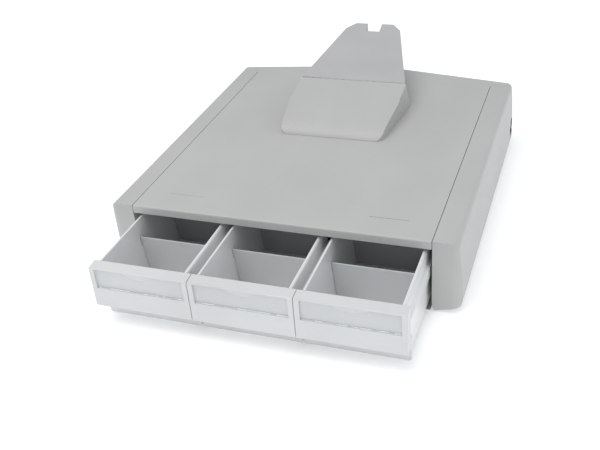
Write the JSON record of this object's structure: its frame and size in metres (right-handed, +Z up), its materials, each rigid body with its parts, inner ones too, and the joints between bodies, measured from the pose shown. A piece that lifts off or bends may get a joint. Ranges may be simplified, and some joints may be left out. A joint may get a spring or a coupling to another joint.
{
  "type": "storage drawer unit",
  "caption": "Low drawer unit with open bins side by side, a side lock and a rear steel arm that carries it under a worksurface.",
  "frame": {"origin": "centre of the footprint with the drawers partly open, on the underside of the tray", "axes": "+X to the right seen from the drawer fronts, +Y from the fronts to the rear arm, +Z up"},
  "size_m": [0.4628, 0.6226, 0.1772],
  "materials": {
    "cover_plastic": "fine moulded texture",
    "side_plastic": "fine moulded texture",
    "bin_plastic": "satin moulded",
    "front_plastic": "satin moulded",
    "carrier_plastic": "matt black",
    "rail_plastic": "matt dark grey",
    "clear_plastic": "clear polished",
    "arm_paint": "powder coat, satin",
    "zinc_steel": "zinc plated",
    "screw_steel": "black zinc",
    "lock_steel": "satin nickel"
  },
  "bodies": {
    "housing": {"top_cover": "cover_plastic", "side_cover_left": "side_plastic", "side_cover_right": "side_plastic", "back_panel": "side_plastic", "bottom_pan": "zinc_steel", "side_rail_left": "zinc_steel", "side_rail_right": "zinc_steel", "partition_left": "rail_plastic", "partition_right": "rail_plastic", "stop_bar": "zinc_steel", "carrier_plate": "zinc_steel", "bracket_arm": "arm_paint", "arm_foot_left": "arm_paint", "arm_foot_right": "arm_paint", "bracket_cover": "cover_plastic", "arm_bolts": "screw_steel", "lock_body": "lock_steel", "lock_nut": "lock_steel", "shaft_bearing_left": "zinc_steel", "shaft_bearing_right": "zinc_steel", "pan_screws": "screw_steel"},
    "drawer_1": {"tub_1": "bin_plastic", "front_1": "front_plastic", "label_cover_1": "clear_plastic", "divider_1": "bin_plastic", "rear_carrier_1": "carrier_plastic"},
    "drawer_2": {"tub_2": "bin_plastic", "front_2": "front_plastic", "label_cover_2": "clear_plastic", "divider_2": "bin_plastic", "rear_carrier_2": "carrier_plastic"},
    "drawer_3": {"tub_3": "bin_plastic", "front_3": "front_plastic", "label_cover_3": "clear_plastic", "divider_3": "bin_plastic", "rear_carrier_3": "carrier_plastic"},
    "lock_turning": {"lock_plug": "lock_steel", "lock_shaft": "lock_steel", "lock_hook_1": "lock_steel", "lock_hook_2": "lock_steel", "lock_hook_3": "lock_steel"}
  },
  "joints": [
    {"name": "drawer_1_slide", "type": "slide", "parent": "housing", "child": "drawer_1", "axis": [0, -1, 0], "range_m": [-0.1187, 0.033]},
    {"name": "drawer_2_slide", "type": "slide", "parent": "housing", "child": "drawer_2", "axis": [0, -1, 0], "range_m": [-0.1187, 0.033]},
    {"name": "drawer_3_slide", "type": "slide", "parent": "housing", "child": "drawer_3", "axis": [0, -1, 0], "range_m": [-0.1187, 0.033]},
    {"name": "lock_turn", "type": "hinge", "parent": "housing", "child": "lock_turning", "pos_m": [0.2, 0.25635, 0.034], "axis": [-1, 0, 0], "range_deg": [0, 90]}
  ]
}
